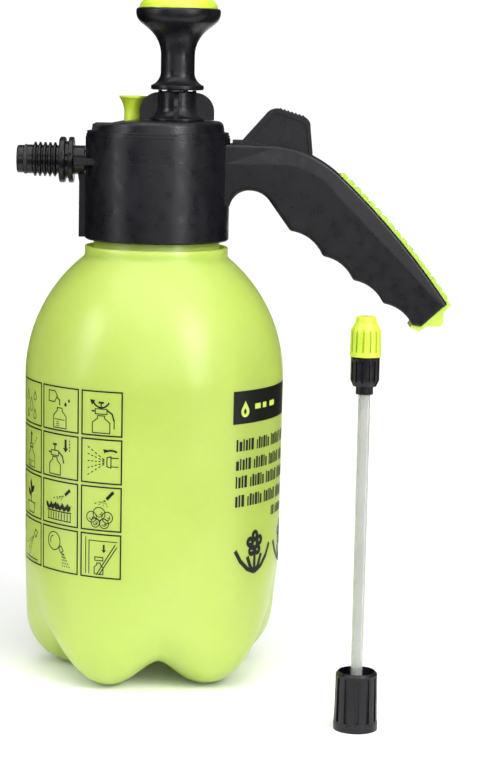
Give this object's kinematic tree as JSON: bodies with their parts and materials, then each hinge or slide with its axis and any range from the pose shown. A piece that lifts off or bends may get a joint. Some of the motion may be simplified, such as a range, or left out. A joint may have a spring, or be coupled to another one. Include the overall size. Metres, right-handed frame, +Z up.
{
  "type": "pump_sprayer",
  "caption": "Hand pump pressure sprayer with a lime bottle on five feet, black pistol-grip head, push handle, trigger and a separate spray lance",
  "frame": {"origin": "on the floor under the bottle's axis", "axes": "+Z up along the bottle's axis; +X towards the grip, -X towards the outlet; the lance stands at +X -Y"},
  "size_m": [0.2122, 0.1734, 0.3328],
  "materials": {
    "bottle_plastic": "translucent lime polyethylene, soft satin",
    "black_plastic": "fine textured black polypropylene",
    "black_gloss": "smooth black plastic",
    "green_plastic": "bright lime plastic",
    "green_rubber": "soft lime grip rubber",
    "clear_tube": "clear rigid tube",
    "white_plastic": "natural white plastic",
    "seal_rubber": "black seal rubber",
    "spring_steel": "bright spring wire"
  },
  "bodies": {
    "base": {"bottle": "bottle_plastic"},
    "head_carrier": {"neck_gasket": "seal_rubber"},
    "head": {"lower_housing": "black_plastic", "upper_housing": "black_plastic", "grip_strip": "green_rubber", "trigger_pin": "spring_steel", "top_cap": "black_plastic", "manifold": "white_plastic", "valve_gland_ring": "seal_rubber", "valve_plug": "white_plastic", "valve_spring": "spring_steel", "relief_guide": "white_plastic", "relief_spring": "spring_steel", "outlet_spigot": "black_gloss", "outlet_tip_ring": "seal_rubber", "outlet_inner_ring": "seal_rubber", "dip_tube": "clear_tube", "strainer": "black_gloss"},
    "trigger_lever": {"trigger": "black_plastic"},
    "valve": {"valve_stem": "white_plastic", "valve_seal": "seal_rubber"},
    "relief_valve": {"relief_knob": "green_plastic", "relief_seal": "seal_rubber"},
    "pump_seat_ring": {"barrel_seal": "seal_rubber"},
    "pump_unit": {"pump_cap": "black_plastic", "pump_barrel": "white_plastic", "check_valve": "seal_rubber", "rod_bush": "black_gloss"},
    "pump_piston": {"piston": "black_gloss", "piston_seal": "seal_rubber"},
    "push_handle": {"pump_handle": "black_plastic", "handle_insert": "green_plastic", "piston_rod": "white_plastic"},
    "lance": {"lance_tube": "clear_tube", "lance_ferrule": "black_gloss", "lance_seal": "seal_rubber", "nozzle_body": "black_plastic", "nozzle_ring": "seal_rubber", "swirl_core": "black_gloss"},
    "lance_coupling": {"lance_nut": "black_plastic"},
    "nozzle": {"nozzle_cap": "green_plastic"}
  },
  "joints": [
    {"name": "head_lift", "type": "slide", "parent": "base", "child": "head_carrier", "axis": [0, 0, 1], "range_m": [0, 0.245]},
    {"name": "head_turn", "type": "hinge", "parent": "head_carrier", "child": "head", "pos_m": [0, 0, 0.236], "axis": [0, 0, 1], "range_deg": [0, 270]},
    {"name": "trigger_press", "type": "hinge", "parent": "head", "child": "trigger_lever", "pos_m": [0.0388, 0, 0.258], "axis": [0, 1, 0], "range_deg": [0, 12], "stiffness_Nm_per_rad": 0.35, "springref_deg": -14.32},
    {"name": "valve_open", "type": "slide", "parent": "head", "child": "valve", "axis": [0, 0, -1], "range_m": [0, 0.0013], "deforming": ["valve_spring"]},
    {"name": "relief_pull", "type": "slide", "parent": "head", "child": "relief_valve", "axis": [0, 0, 1], "range_m": [0, 0.0035], "stiffness_N_per_m": 300, "springref_m": -0.004, "deforming": ["relief_spring"]},
    {"name": "pump_unit_lift", "type": "slide", "parent": "head", "child": "pump_seat_ring", "axis": [0, 0, 1], "range_m": [0, 0.17]},
    {"name": "pump_unit_turn", "type": "hinge", "parent": "pump_seat_ring", "child": "pump_unit", "pos_m": [0.009, 0, 0.27], "axis": [0, 0, 1], "continuous": true},
    {"name": "pump_stroke", "type": "slide", "parent": "pump_unit", "child": "pump_piston", "axis": [0, 0, 1], "range_m": [0, 0.12]},
    {"name": "handle_turn", "type": "hinge", "parent": "pump_piston", "child": "push_handle", "pos_m": [0.009, 0, 0.3], "axis": [0, 0, 1], "continuous": true},
    {"name": "lance_lift", "type": "slide", "parent": "base", "child": "lance", "axis": [0, 0, 1], "range_m": [0, 0.2]},
    {"name": "lance_nut_turn", "type": "hinge", "parent": "lance", "child": "lance_coupling", "pos_m": [0.098, -0.1, 0.013], "axis": [0, 0, 1], "continuous": true},
    {"name": "nozzle_turn", "type": "hinge", "parent": "lance", "child": "nozzle", "pos_m": [0.098, -0.1, 0.18], "axis": [0, 0, 1], "continuous": true}
  ],
  "couplings": [
    {"joint": "valve_open", "follows": "trigger_press", "m_per_rad": 0.0058}
  ]
}
